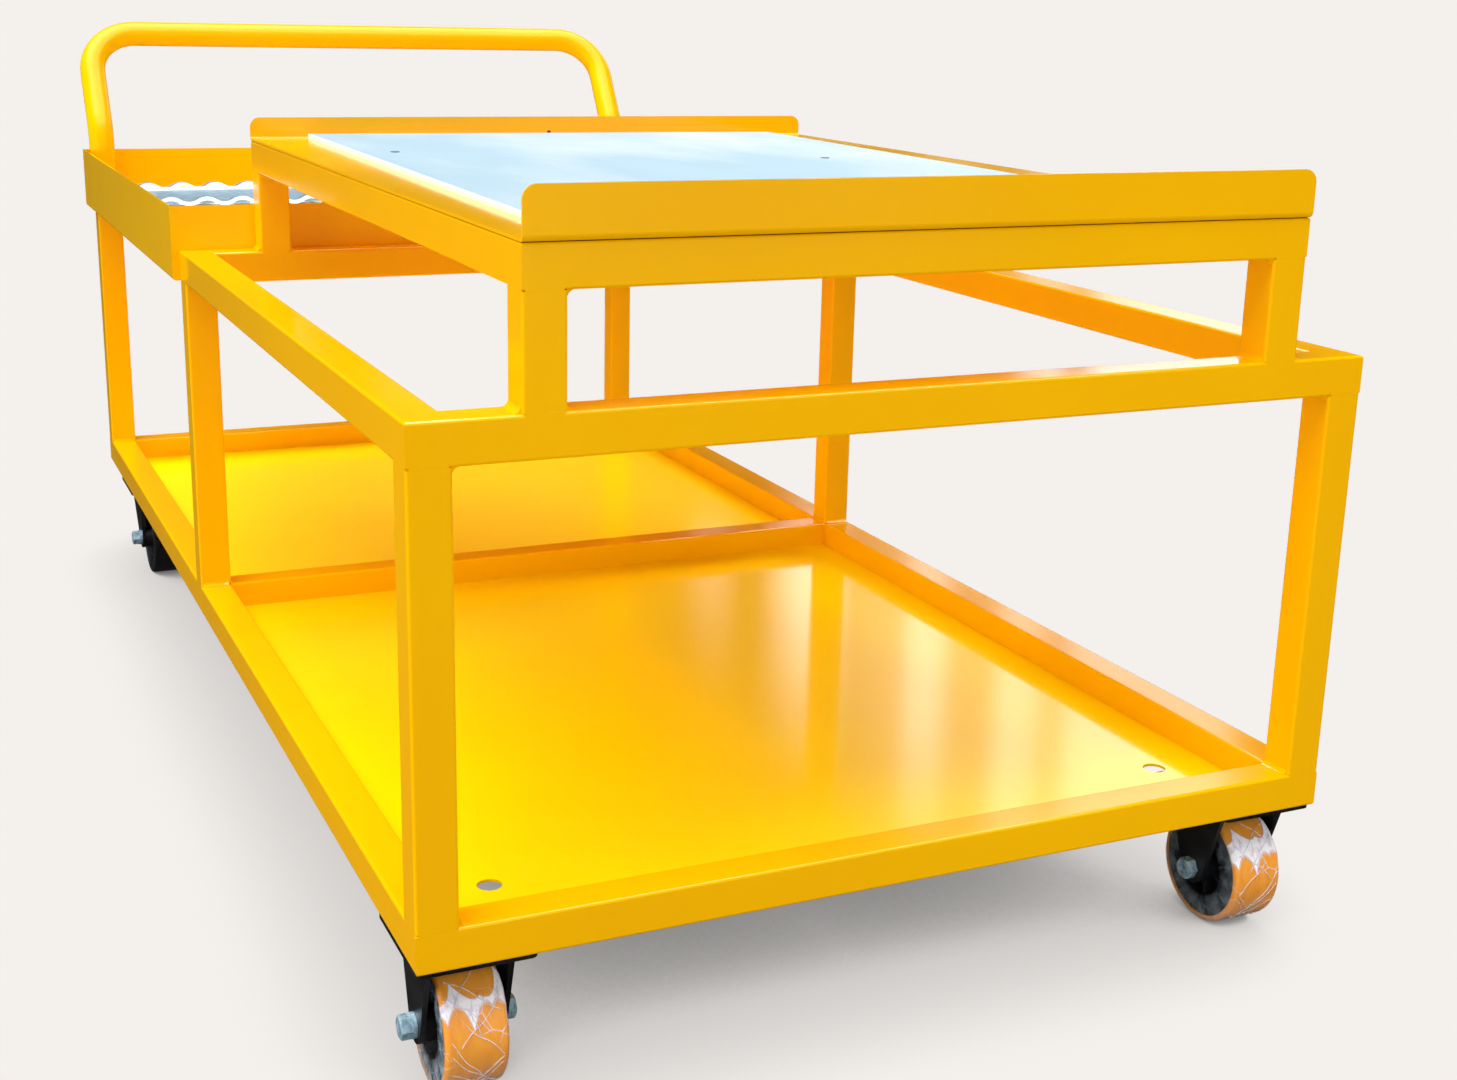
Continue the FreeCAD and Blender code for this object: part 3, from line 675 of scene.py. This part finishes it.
def front_wheel(side):
    """The middle, the radius and half the width of a front wheel's tread."""
    low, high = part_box("front_%s_tread" % side)
    return (low + high) / 2, (high.z - low.z) / 2, (high.x - low.x) / 2


def ripple(point, size):
    """A steady crumple between 0 and 1 at a point."""
    return 0.5 + 0.5 * vertex_noise.noise(point / size)


def film_wrap(name, centre, radius):
    """Film over the tread and both shoulders, open round the hub and crumpled outwards."""
    bpy.ops.object.select_all(action="DESELECT")
    bpy.ops.mesh.primitive_cylinder_add(vertices=FILM_STEPS, radius=radius + FILM_GAP,
                                        depth=2 * FILM_FLAT, end_fill_type="NOTHING",
                                        location=centre, rotation=(0, math.pi / 2, 0))
    film = bpy.context.object
    film.name = name
    bpy.ops.object.transform_apply(location=True, rotation=True, scale=True)
    bpy.ops.object.mode_set(mode="EDIT")
    for number in range(1, FILM_CUTS):
        bpy.ops.mesh.select_all(action="SELECT")
        place = centre.x + (2 * number / FILM_CUTS - 1) * FILM_FLAT
        bpy.ops.mesh.bisect(plane_co=(place, 0, 0), plane_no=(1, 0, 0))
    bpy.ops.object.mode_set(mode="OBJECT")
    for out in (-1, 1):
        edge = centre.x + out * FILM_FLAT
        select_where(film, lambda point: abs(point.x - edge) < FILM_EDGE_SLACK)
        bpy.ops.object.mode_set(mode="EDIT")
        for step, shrink in FILM_SHOULDER:
            bpy.ops.mesh.extrude_edges_move(TRANSFORM_OT_translate={"value": (out * step, 0, 0)})
            bpy.ops.transform.resize(value=(1, shrink, shrink), center_override=centre)
        bpy.ops.object.mode_set(mode="OBJECT")
    bpy.ops.object.mode_set(mode="EDIT")
    bpy.ops.mesh.select_all(action="SELECT")
    bpy.ops.mesh.normals_make_consistent(inside=False)
    bpy.ops.object.mode_set(mode="OBJECT")
    for vertex in film.data.vertices:
        fine = FINE_WRINKLE_SHARE * ripple(vertex.co, FINE_WRINKLE_SIZE)
        lift = FILM_WRINKLE * (ripple(vertex.co, WRINKLE_SIZE) + fine)
        vertex.co += vertex.normal * lift
        vertex.co.z = max(vertex.co.z, FLOOR_CLEAR)
    bpy.ops.object.shade_smooth()
    return film


def cells(tree, coordinate, scale, feature="F1", across=False):
    """Distances in a cell pattern, along one number or through space."""
    node = tree.nodes.new("ShaderNodeTexVoronoi")
    node.feature = feature
    node.voronoi_dimensions = "1D" if across else "3D"
    node.inputs["Scale"].default_value = scale
    tree.links.new(coordinate, node.inputs["W" if across else "Vector"])
    return node.outputs["Distance"]


def points_of(tree, across, scale, base, reach):
    """The edge of a stretched patch of film: arcs drawn out to sharp points."""
    teeth = cells(tree, across, scale, across=True)
    squared = number_of(tree, "MULTIPLY", teeth, teeth)
    return number_of(tree, "ADD", number_of(tree, "MULTIPLY", squared, reach), base)


def round_wheel(tree, place, centre):
    """Places seen from a wheel's middle: as a vector, across it, round it and out from its axle."""
    mapping = tree.nodes.new("ShaderNodeMapping")
    mapping.inputs["Location"].default_value = -centre
    tree.links.new(place, mapping.inputs["Vector"])
    local = mapping.outputs["Vector"]
    split = tree.nodes.new("ShaderNodeSeparateXYZ")
    tree.links.new(local, split.inputs["Vector"])
    ahead = number_of(tree, "MULTIPLY", split.outputs["Y"], -1.0)
    angle = number_of(tree, "ARCTAN2", split.outputs["Z"], ahead)
    squares = [number_of(tree, "MULTIPLY", split.outputs[axis], split.outputs[axis]) for axis in "YZ"]
    from_axle = number_of(tree, "SQRT", number_of(tree, "ADD", *squares))
    return local, split.outputs["X"], angle, from_axle


def bunch_and_reflection(tree, across, angle, wrinkle, edges):
    """How far the film covers the tread where it bunches, partly as a painted reflection."""
    top, top_reach, foot, foot_reach = edges
    slanted = number_of(tree, "ADD", across, number_of(tree, "MULTIPLY", angle, UPPER_SLANT))
    upper = points_of(tree, slanted, UPPER_POINTS, BUNCH_ANGLE + top, top_reach)
    lower = points_of(tree, across, LOWER_POINTS, BUNCH_ANGLE + foot, foot_reach)
    below_top = spread(tree, number_of(tree, "SUBTRACT", upper, angle), 0.0, 1.0, 0.0, UPPER_FADE)
    above_foot = spread(tree, number_of(tree, "SUBTRACT", angle, lower), 0.0, 1.0, 0.0, LOWER_FADE)
    milky = spread(tree, wrinkle, *MILK_COVER, *MILK_SPAN)
    return number_of(tree, "MULTIPLY", number_of(tree, "MULTIPLY", below_top, above_foot), milky)


def fine_creases(tree, local):
    """How far the film covers the tread along its creases, in the patches that were pulled."""
    creased = spread(tree, noise(tree, local, CREASED_SCALE), 0.0, CREASE_COVER, *CREASED_SPAN)
    folds = cells(tree, local, CREASE_SCALE, "DISTANCE_TO_EDGE")
    return number_of(tree, "MULTIPLY", spread(tree, folds, 1.0, 0.0, 0.0, CREASE_WIDTH), creased)


def sheen_rays(tree, across, angle, from_axle):
    """Rays of patches over the rim, and their painted silver sheen with painted glints."""
    rays = tree.nodes.new("ShaderNodeCombineXYZ")
    tree.links.new(angle, rays.inputs["X"])
    tree.links.new(number_of(tree, "MULTIPLY", from_axle, FOIL_RAYS), rays.inputs["Y"])
    tree.links.new(across, rays.inputs["Z"])
    patch = noise(tree, rays.outputs["Vector"], FOIL_SCALE, detail=3.0)
    # Painted glints along the cell edges.
    rips = cells(tree, rays.outputs["Vector"], GLINT_SCALE, "DISTANCE_TO_EDGE")
    glint = spread(tree, rips, GLINT_COVER, 0.0, 0.0, GLINT_WIDTH)
    return patch, number_of(tree, "MAXIMUM", spread(tree, patch, *FOIL_COVER, *FOIL_SPAN), glint)


def clear_film(name, centre, radius, edges, foil):
    """Nearly clear film: a milky pointed bunch on the upper tread, partly painted reflection, fine
    creases, painted silver sheen on the rim.
    """
    material, tree, shader, place = new_material(name)
    local, across, angle, from_axle = round_wheel(tree, place, centre)
    wrinkle = noise(tree, local, MILK_SCALE, detail=4.0, roughness=0.7, stretch=MILK_STRETCH)
    bunch = bunch_and_reflection(tree, across, angle, wrinkle, edges)
    haze = spread(tree, angle, *HAZE_COVER, *HAZE_SPAN)
    veil = number_of(tree, "MAXIMUM", bunch, haze)
    on_tread = number_of(tree, "MAXIMUM", veil, fine_creases(tree, local))

    patch, silver = sheen_rays(tree, across, angle, from_axle)
    hub = [radius * share for share in FOIL_HUB]
    towards_rim = spread(tree, from_axle, FOIL_AT_HUB * foil, foil, *hub)
    on_rim = number_of(tree, "MULTIPLY", silver, towards_rim)
    shoulder = [radius * share for share in FOIL_RIM]
    rim = spread(tree, from_axle, 1.0, 0.0, *shoulder)
    cover = tree.nodes.new("ShaderNodeMix")
    tree.links.new(rim, cover.inputs["Factor"])
    tree.links.new(on_tread, cover.inputs["A"])
    tree.links.new(on_rim, cover.inputs["B"])
    tree.links.new(cover.outputs["Result"], shader.inputs["Alpha"])

    # The bunch's colour, partly a painted reflection of the light.
    milk = two_tone(tree, wrinkle, FILM_REFLECTION_LILAC, FILM_REFLECTION_WHITE, *LILAC_SPAN)
    # Painted sheen: blue steel to silver over the rim.
    rim_sheen_colour = two_tone(tree, silver, FILM_STEEL, FILM_SILVER_SHEEN, *SILVER_SPAN)
    tree.links.new(blend(tree, rim, milk, rim_sheen_colour), shader.inputs["Base Color"])
    tree.links.new(spread(tree, patch, *FILM_ROUGHNESS), shader.inputs["Roughness"])
    bump(tree, shader, wrinkle, FILM_RELIEF, FILM_RELIEF_DEPTH)
    return material


for side in HANDS:
    hub, tread_radius, _ = front_wheel(side)
    film = film_wrap("front_%s_film" % side, hub, tread_radius)
    wound = clear_film("clear_film_" + side, hub, tread_radius, BUNCH_EDGES[side], FOIL[side])
    film.data.materials.append(wound)
    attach(film, "front_%s_wheel" % side)

# Film strands: where the film's edge rolled up while it was wound, it lies as thin white strands that
# cross the tread at a slant and turn over its shoulders.
STRAND_RADIUS = 0.0004
STRAND_STEPS = 14
STRAND_LIFT = 0.0010
STRAND_SPAN = 0.86
STRAND_SWAY = 0.03
STRAND_WAVES = 7.0
STRAND_SEED = 0.001
STRAND_DIM = (0.75, 0.75, 0.82, 1.0)
STRAND_WHITE = (0.95, 0.95, 0.98, 1.0)
STRAND_SCALE = 150.0
STRAND_COVER = (0.35, 0.95)
STRAND_ROUGHNESS = 0.2
# Where each strand starts and ends: an angle in degrees and a place across the tread, from -1 to 1.
STRAND_RUNS = [(62, -0.9, 30, 0.9), (48, -0.95, 14, 0.5), (40, 0.95, 4, -0.6),
               (22, -0.4, -8, 0.95), (8, -0.95, -30, 0.2), (-4, -0.95, -40, 0.55),
               (-12, 0.95, -58, -0.8), (-18, 0.95, -50, -0.2), (-24, -0.9, -46, 0.8),
               (34, -0.2, 12, 0.1), (72, 0.3, 40, -0.7), (-40, 0.9, -66, -0.3)]


def film_strands(name, centre, radius, half_width, mirrored):
    """Strands along the tread, each drawn as a line of points and given a round section."""
    strands = []
    side = -1 if mirrored else 1
    for start, from_side, end, to_side in STRAND_RUNS:
        bpy.ops.object.select_all(action="DESELECT")
        bpy.ops.mesh.primitive_plane_add(size=STRAND_SEED, location=centre)
        strand = bpy.context.object
        bpy.ops.object.transform_apply(location=True, rotation=True, scale=True)
        bpy.ops.object.mode_set(mode="EDIT")
        bpy.ops.mesh.select_all(action="SELECT")
        bpy.ops.mesh.merge(type="CENTER")
        at = centre.copy()
        for step in range(STRAND_STEPS + 1):
            share = step / STRAND_STEPS
            wave = STRAND_SWAY * math.sin(STRAND_WAVES * share + start)
            turn = math.radians(start + (end - start) * share) + wave
            reach = radius + STRAND_LIFT
            sideways = side * (from_side + (to_side - from_side) * share) * half_width * STRAND_SPAN
            there = centre + Vector((sideways, -reach * math.cos(turn), reach * math.sin(turn)))
            if step == 0:
                bpy.ops.transform.translate(value=there - at)
            else:
                bpy.ops.mesh.extrude_vertices_move(TRANSFORM_OT_translate={"value": there - at})
            at = there
        bpy.ops.object.mode_set(mode="OBJECT")
        bpy.ops.object.convert(target="CURVE")
        strand.data.bevel_depth = STRAND_RADIUS
        strand.data.bevel_resolution = 2
        bpy.ops.object.convert(target="MESH")
        bpy.ops.object.shade_smooth()
        strands.append(bpy.context.object)
    return join_as(name, strands)


def strand_white():
    """Rolled film: white and waxy, thinner in places."""
    material, tree, shader, place = new_material("film_strand_white")
    patch = noise(tree, place, STRAND_SCALE, detail=3.0)
    tree.links.new(two_tone(tree, patch, STRAND_DIM, STRAND_WHITE), shader.inputs["Base Color"])
    tree.links.new(spread(tree, patch, *STRAND_COVER), shader.inputs["Alpha"])
    shader.inputs["Roughness"].default_value = STRAND_ROUGHNESS
    return material


rolled_white = strand_white()
for side in HANDS:
    hub, tread_radius, tread_half = front_wheel(side)
    strands = film_strands("front_%s_strands" % side, hub, tread_radius, tread_half, side == "right")
    strands.data.materials.append(rolled_white)
    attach(strands, "front_%s_wheel" % side)

# Floor and light: a wide pale studio floor in an even white surround, one broad soft lamp overhead
# and low fills round the trolley. A wall of strip lights behind it and a soft ceiling show only as
# pale streaks and edges in the gloss.
FLOOR_SIZE = 120.0
FLOOR_PALE = (0.22, 0.217, 0.212, 1.0)
FLOOR_WARM = (0.23, 0.227, 0.222, 1.0)
FLOOR_MIRRORED = (0.03, 0.028, 0.026, 1.0)
FLOOR_CLOUD_SCALE = 0.7
FLOOR_ROUGHNESS = 0.85
FLOOR_SHEEN = 0.1
BACKDROP = (0.905, 0.872, 0.838, 1.0)
# How open the floor lies, and how bright it is then seen with its painted shadow.
FLOOR_SHADES = [(0.0, 0.10), (0.17, 0.30), (0.28, 0.62), (0.55, 0.74), (0.78, 0.90), (1.0, 0.905)]
SHADE_TINT = (1.0, 0.965, 0.935)
SHADE_REACH = 0.42
SHADE_SAMPLES = 32
SURROUND = (1.0, 0.99, 0.97, 1.0)
SURROUND_LEVEL = 0.02
LAMP_LEVEL = 4.7
LAMP_SPREAD = 60.0
LAMP_LEAN = (2.9, -15.7)
# Each fill: its bearing in degrees from the rear, distance, width and height, level above the floor
# and strength.
FILLS = {
    "deck_window": (30.0, 4.5, (5.0, 2.5), 2.0, 9.5),
    "rear_fill": (25.0, 4.5, (5.0, 2.5), 2.0, 2.6),
    "front_fill": (176.0, 3.2, (3.0, 1.6), 1.1, 2.45),
    "left_fill": (265.0, 4.5, (4.0, 1.6), 0.9, 4.7),
    "right_fill": (95.0, 4.5, (4.0, 1.6), 0.9, 3.0),
}
CEILING_SIZE = 5.0
CEILING_HEIGHT = 3.5
CEILING_LEVEL = 9.0
WALL_BEARING = 30.0
WALL_SIZE = (5.0, 2.05)
WALL_FOOT = 1.35
WALL_DISTANCE = 5.0
# Each strip: its place across the wall, half its width, its soft edge and its strength.
STRIPS = [(-0.46, 0.02, 0.10, 1.0), (-0.06, 0.05, 0.15, 2.2), (0.45, 0.28, 0.06, 0.6),
          (0.41, 0.04, 0.08, 1.6), (0.80, 0.04, 0.10, 2.0), (1.30, 0.28, 0.12, 2.3)]
STRIP_FADE = (-0.625, 0.075)


def emission(tree, name, value):
    """A shader that glows, its colour or strength given plainly or by a socket."""
    node = tree.nodes.new("ShaderNodeEmission")
    if isinstance(value, (float, tuple)):
        node.inputs[name].default_value = value
    else:
        tree.links.new(value, node.inputs[name])
    return node.outputs["Emission"]


def either(tree, choice, usual, chosen):
    """The usual shader, or the chosen one for the rays that the choice picks out."""
    node = tree.nodes.new("ShaderNodeMixShader")
    tree.links.new(choice, node.inputs["Fac"])
    tree.links.new(usual, node.inputs[1])
    tree.links.new(chosen, node.inputs[2])
    return node.outputs["Shader"]


def floor_finish():
    """A matt pale floor, seen as a glow with painted shadow where it is shut in; it mirrors almost
    black.
    """
    material, tree, shader, place = new_material("pale_studio_floor")
    clouds = noise(tree, place, FLOOR_CLOUD_SCALE)
    tree.links.new(two_tone(tree, clouds, FLOOR_PALE, FLOOR_WARM), shader.inputs["Base Color"])
    shader.inputs["Roughness"].default_value = FLOOR_ROUGHNESS
    shader.inputs["Specular IOR Level"].default_value = FLOOR_SHEEN
    shade = tree.nodes.new("ShaderNodeAmbientOcclusion")
    shade.inputs["Distance"].default_value = SHADE_REACH
    shade.samples = SHADE_SAMPLES
    greys = []
    for openness, brightness in FLOOR_SHADES:
        greys.append((openness, (*[brightness * part for part in SHADE_TINT], 1.0)))
    # Painted shadow: the camera sees a glow darkened by ambient occlusion.
    seen = emission(tree, "Color", ramp(tree, shade.outputs["AO"], greys))
    mirrored = emission(tree, "Color", FLOOR_MIRRORED)
    rays = tree.nodes.new("ShaderNodeLightPath").outputs
    unseen = either(tree, rays["Is Glossy Ray"], shader.outputs["BSDF"], mirrored)
    surface = either(tree, rays["Is Camera Ray"], unseen, seen)
    tree.links.new(surface, tree.nodes["Material Output"].inputs["Surface"])
    return material


def strip_lights():
    """Soft upright strips of light that fade out along a slant."""
    material, tree, shader, place = new_material("soft_strip_lights")
    split = tree.nodes.new("ShaderNodeSeparateXYZ")
    tree.links.new(place, split.inputs["Vector"])
    level = 0.0
    for across, half_width, softness, strength in STRIPS:
        off = number_of(tree, "ABSOLUTE", number_of(tree, "SUBTRACT", split.outputs["X"], across))
        strip = spread(tree, off, strength, 0.0, half_width, half_width + softness)
        level = number_of(tree, "ADD", strip, level)
    aslant = number_of(tree, "SUBTRACT", split.outputs["Y"], split.outputs["X"])
    fade = spread(tree, aslant, 1.0, 0.0, *STRIP_FADE)
    glow = emission(tree, "Strength", number_of(tree, "MULTIPLY", level, fade))
    tree.links.new(glow, tree.nodes["Material Output"].inputs["Surface"])
    return material


def even_glow():
    """One even level of light."""
    material, tree, shader, place = new_material("soft_ceiling")
    glow = emission(tree, "Strength", CEILING_LEVEL)
    tree.links.new(glow, tree.nodes["Material Output"].inputs["Surface"])
    return material


def beside_deck(bearing, distance, height):
    """A place at a bearing and a distance from the front deck's middle, at a height."""
    turn = math.radians(bearing)
    place = deck_middle + Vector((math.sin(turn), math.cos(turn), 0)) * distance
    place.z = height
    return place


bpy.ops.object.select_all(action="DESELECT")
bpy.ops.mesh.primitive_plane_add(size=FLOOR_SIZE)
floor = bpy.context.object
floor.name = "studio_floor"
floor.data.materials.append(floor_finish())

world = bpy.data.worlds.new("white_surround")
bpy.context.scene.world = world
world.use_nodes = True
tree = world.node_tree
surround = tree.nodes["Background"]
surround.inputs["Color"].default_value = SURROUND
surround.inputs["Strength"].default_value = SURROUND_LEVEL
backdrop = tree.nodes.new("ShaderNodeBackground")
backdrop.inputs["Color"].default_value = BACKDROP
rays = tree.nodes.new("ShaderNodeLightPath").outputs
even, seen = surround.outputs["Background"], backdrop.outputs["Background"]
sky = either(tree, rays["Is Camera Ray"], even, seen)
tree.links.new(sky, tree.nodes["World Output"].inputs["Surface"])

lamp = bpy.data.lights.new("overhead_lamp", "SUN")
lamp.energy = LAMP_LEVEL
lamp.angle = math.radians(LAMP_SPREAD)
overhead = bpy.data.objects.new("overhead_lamp", lamp)
overhead.rotation_euler = (*[math.radians(lean) for lean in LAMP_LEAN], 0)
bpy.context.scene.collection.objects.link(overhead)

deck_low, deck_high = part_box("front_deck")
deck_middle = (deck_low + deck_high) / 2
bpy.ops.object.select_all(action="DESELECT")
bpy.ops.mesh.primitive_plane_add(size=1.0)
strip_wall = bpy.context.object
strip_wall.name = "strip_light_wall"
strip_wall.scale = (*WALL_SIZE, 1.0)
bpy.ops.object.transform_apply(location=True, rotation=True, scale=True)
strip_wall.location = beside_deck(WALL_BEARING, WALL_DISTANCE, WALL_FOOT + WALL_SIZE[1] / 2)
strip_wall.rotation_euler = (math.pi / 2, 0, -math.radians(WALL_BEARING))
strip_wall.data.materials.append(strip_lights())

bpy.ops.mesh.primitive_plane_add(size=CEILING_SIZE, location=(0, 0, CEILING_HEIGHT))
ceiling = bpy.context.object
ceiling.name = "ceiling_softbox"
ceiling.data.materials.append(even_glow())
for mirror_light in (strip_wall, ceiling):
    mirror_light.visible_camera = False
    mirror_light.visible_diffuse = False
    mirror_light.visible_shadow = False

for name, (bearing, distance, size, height, level) in FILLS.items():
    fill = bpy.data.lights.new(name, "AREA")
    fill.shape = "RECTANGLE"
    fill.size, fill.size_y = size
    fill.energy = level * math.pi * size[0] * size[1]
    stand = bpy.data.objects.new(name, fill)
    stand.location = beside_deck(bearing, distance, height)
    stand.rotation_euler = (deck_middle - stand.location).to_track_quat("-Z", "Y").to_euler()
    stand.visible_camera = False
    stand.visible_glossy = False
    bpy.context.scene.collection.objects.link(stand)
deck_side = bpy.data.collections.new("lit_by_the_deck_window")
for name in ("front_deck", "rear_deck"):
    deck_side.objects.link(nodes[name])
bpy.data.objects["deck_window"].light_linking.receiver_collection = deck_side

# Camera: at the photograph's place, in front of the table end and to its left, at about the height
# of the handle, with the picture's small tilt and its middle a little off the lens axis.
SENSOR_WIDTH = 36.0
PICTURE_WIDTH = 1457.0
PICTURE_HEIGHT = 1080.0
FOCAL_PIXELS = 1884.3
AXIS_PIXEL = (727.2, 514.0)
AZIMUTH = math.radians(-24.939)
ELEVATION = math.radians(15.141)
TILT = math.radians(1.352)
EYE_FROM_CORNER = Vector((-0.3866, -1.4516, 0.8262))

eye = frame_corner + EYE_FROM_CORNER
back = Vector((math.sin(AZIMUTH) * math.cos(ELEVATION), -math.cos(AZIMUTH) * math.cos(ELEVATION),
               math.sin(ELEVATION)))
level_right = (-back).cross(Vector((0, 0, 1))).normalized()
level_up = level_right.cross(-back)
right = math.cos(TILT) * level_right + math.sin(TILT) * level_up
up = math.cos(TILT) * level_up - math.sin(TILT) * level_right
lens = bpy.data.cameras.new("photo_camera")
lens.sensor_width = SENSOR_WIDTH
lens.lens = FOCAL_PIXELS / PICTURE_WIDTH * SENSOR_WIDTH
lens.shift_x = (PICTURE_WIDTH / 2 - AXIS_PIXEL[0]) / PICTURE_WIDTH
lens.shift_y = (AXIS_PIXEL[1] - PICTURE_HEIGHT / 2) / PICTURE_WIDTH
camera = bpy.data.objects.new("photo_camera", lens)
camera.matrix_world = Matrix((
    (right.x, up.x, back.x, eye.x),
    (right.y, up.y, back.y, eye.y),
    (right.z, up.z, back.z, eye.z),
    (0, 0, 0, 1),
))
bpy.context.scene.collection.objects.link(camera)
bpy.context.scene.camera = camera
bpy.context.scene.view_settings.view_transform = "Standard"
